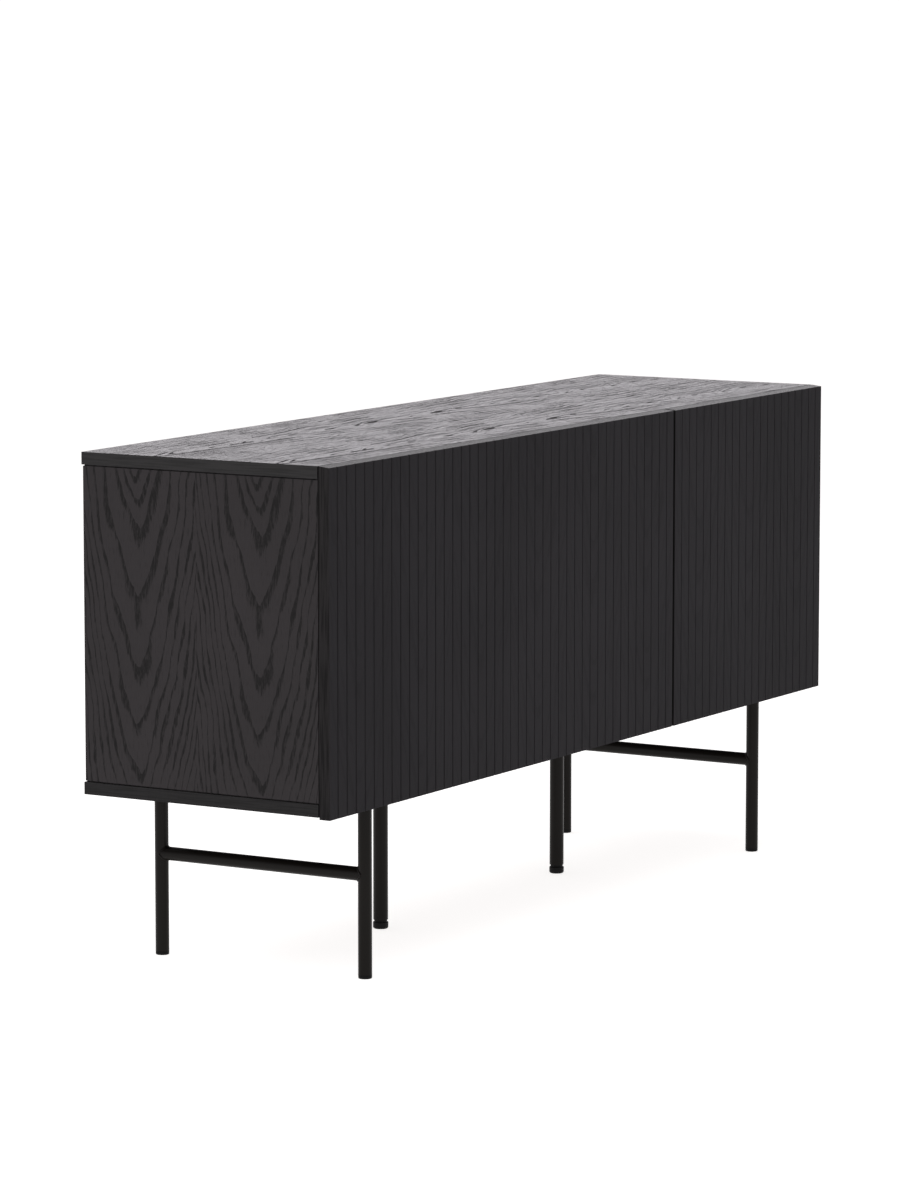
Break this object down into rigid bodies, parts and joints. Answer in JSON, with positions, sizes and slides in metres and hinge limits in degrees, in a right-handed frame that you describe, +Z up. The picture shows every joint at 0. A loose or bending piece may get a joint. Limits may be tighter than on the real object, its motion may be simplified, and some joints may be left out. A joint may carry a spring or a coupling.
{
  "type": "sideboard buffet",
  "caption": "Low sideboard in black-stained oak with grooved push-open doors, shelved bays and slim tubular steel legs with levelling feet.",
  "frame": {"origin": "on the floor under the middle of the overall box, doors included", "axes": "+X to the right along the width, -Y out through the doors, +Z up"},
  "size_m": [1.6, 0.436, 0.79],
  "materials": {
    "stained_oak": "black-stained oak veneer with an open grain, satin",
    "dark_laminate": "plain black melamine, satin",
    "back_board": "thin painted fibreboard, matt",
    "beech": "raw fluted dowels",
    "black_steel": "black powder coat, satin",
    "hinge_nickel": "nickel plated steel",
    "zinc": "bright zinc plated",
    "spring_steel": "spring wire",
    "black_plastic": "moulded, fine texture",
    "clear_bumper": "soft polyurethane dots"
  },
  "bodies": {
    "case": {"top_panel": "stained_oak", "floor_panel": "stained_oak", "left_side_panel": "stained_oak", "right_side_panel": "stained_oak", "left_partition": "dark_laminate", "right_partition": "dark_laminate", "back_board": "back_board", "left_shelf": "dark_laminate", "middle_shelf": "dark_laminate", "right_shelf": "dark_laminate", "shelf_pins": "zinc", "dowels": "beech", "cam_locks": "zinc", "cam_bolts": "zinc", "door_bumpers": "clear_bumper", "arm_pins": "hinge_nickel", "hinge_arms": "hinge_nickel", "mounting_plates": "hinge_nickel", "plate_screws": "zinc", "latch_housings": "black_plastic", "left_latch_spring": "spring_steel", "middle_latch_spring": "spring_steel", "right_latch_spring": "spring_steel", "left_front_leg": "black_steel", "left_rear_leg": "black_steel", "left_cross_rail": "black_steel", "right_front_leg": "black_steel", "right_rear_leg": "black_steel", "right_cross_rail": "black_steel", "mounting_bars": "black_steel", "leg_plugs": "black_plastic", "left_support_leg": "black_steel", "right_support_leg": "black_steel", "support_plates": "black_steel", "leg_screws": "zinc"},
    "left_hinge_link": {"left_hinge_links": "hinge_nickel"},
    "left_door": {"left_door": "stained_oak", "left_hinge_cups": "hinge_nickel", "left_cup_pins": "hinge_nickel", "left_strike_plate": "zinc"},
    "left_plunger": {"left_plunger": "zinc"},
    "middle_hinge_link": {"middle_hinge_links": "hinge_nickel"},
    "middle_door": {"middle_door": "stained_oak", "middle_hinge_cups": "hinge_nickel", "middle_cup_pins": "hinge_nickel", "middle_strike_plate": "zinc"},
    "middle_plunger": {"middle_plunger": "zinc"},
    "right_hinge_link": {"right_hinge_links": "hinge_nickel"},
    "right_door": {"right_door": "stained_oak", "right_hinge_cups": "hinge_nickel", "right_cup_pins": "hinge_nickel", "right_strike_plate": "zinc"},
    "right_plunger": {"right_plunger": "zinc"},
    "left_front_foot": {"left_front_foot": "black_plastic"},
    "left_rear_foot": {"left_rear_foot": "black_plastic"},
    "right_front_foot": {"right_front_foot": "black_plastic"},
    "right_rear_foot": {"right_rear_foot": "black_plastic"},
    "left_support_foot": {"left_support_foot": "black_plastic"},
    "right_support_foot": {"right_support_foot": "black_plastic"}
  },
  "joints": [
    {"name": "left_link_swing", "type": "hinge", "parent": "case", "child": "left_hinge_link", "pos_m": [-0.766, -0.19, 0.528], "axis": [0, 0, 1], "range_deg": [0, 38.1]},
    {"name": "left_door_swing", "type": "hinge", "parent": "left_hinge_link", "child": "left_door", "pos_m": [-0.789, -0.203, 0.528], "axis": [0, 0, -1], "range_deg": [0, 133]},
    {"name": "left_plunger_slide", "type": "slide", "parent": "case", "child": "left_plunger", "axis": [0, -1, 0], "range_m": [0, 0.012], "deforming": ["left_latch_spring"]},
    {"name": "middle_link_swing", "type": "hinge", "parent": "case", "child": "middle_hinge_link", "pos_m": [0.22867, -0.19, 0.528], "axis": [0, 0, -1], "range_deg": [0, 38.1]},
    {"name": "middle_door_swing", "type": "hinge", "parent": "middle_hinge_link", "child": "middle_door", "pos_m": [0.25167, -0.203, 0.528], "axis": [0, 0, 1], "range_deg": [0, 133]},
    {"name": "middle_plunger_slide", "type": "slide", "parent": "case", "child": "middle_plunger", "axis": [0, -1, 0], "range_m": [0, 0.012], "deforming": ["middle_latch_spring"]},
    {"name": "right_link_swing", "type": "hinge", "parent": "case", "child": "right_hinge_link", "pos_m": [0.766, -0.19, 0.528], "axis": [0, 0, -1], "range_deg": [0, 38.1]},
    {"name": "right_door_swing", "type": "hinge", "parent": "right_hinge_link", "child": "right_door", "pos_m": [0.789, -0.203, 0.528], "axis": [0, 0, 1], "range_deg": [0, 133]},
    {"name": "right_plunger_slide", "type": "slide", "parent": "case", "child": "right_plunger", "axis": [0, -1, 0], "range_m": [0, 0.012], "deforming": ["right_latch_spring"]},
    {"name": "left_front_foot_screw", "type": "slide", "parent": "case", "child": "left_front_foot", "axis": [0, 0, -1], "range_m": [0, 0.01]},
    {"name": "left_rear_foot_screw", "type": "slide", "parent": "case", "child": "left_rear_foot", "axis": [0, 0, -1], "range_m": [0, 0.01]},
    {"name": "right_front_foot_screw", "type": "slide", "parent": "case", "child": "right_front_foot", "axis": [0, 0, -1], "range_m": [0, 0.01]},
    {"name": "right_rear_foot_screw", "type": "slide", "parent": "case", "child": "right_rear_foot", "axis": [0, 0, -1], "range_m": [0, 0.01]},
    {"name": "left_support_foot_screw", "type": "slide", "parent": "case", "child": "left_support_foot", "axis": [0, 0, -1], "range_m": [0, 0.01]},
    {"name": "right_support_foot_screw", "type": "slide", "parent": "case", "child": "right_support_foot", "axis": [0, 0, -1], "range_m": [0, 0.01]}
  ],
  "couplings": [
    {"joint": "left_link_swing", "follows": "left_door_swing", "ratio": 0.28571},
    {"joint": "left_plunger_slide", "follows": "left_door_swing", "m_per_rad": 0.005},
    {"joint": "middle_link_swing", "follows": "middle_door_swing", "ratio": 0.28571},
    {"joint": "middle_plunger_slide", "follows": "middle_door_swing", "m_per_rad": 0.005},
    {"joint": "right_link_swing", "follows": "right_door_swing", "ratio": 0.28571},
    {"joint": "right_plunger_slide", "follows": "right_door_swing", "m_per_rad": 0.005}
  ]
}
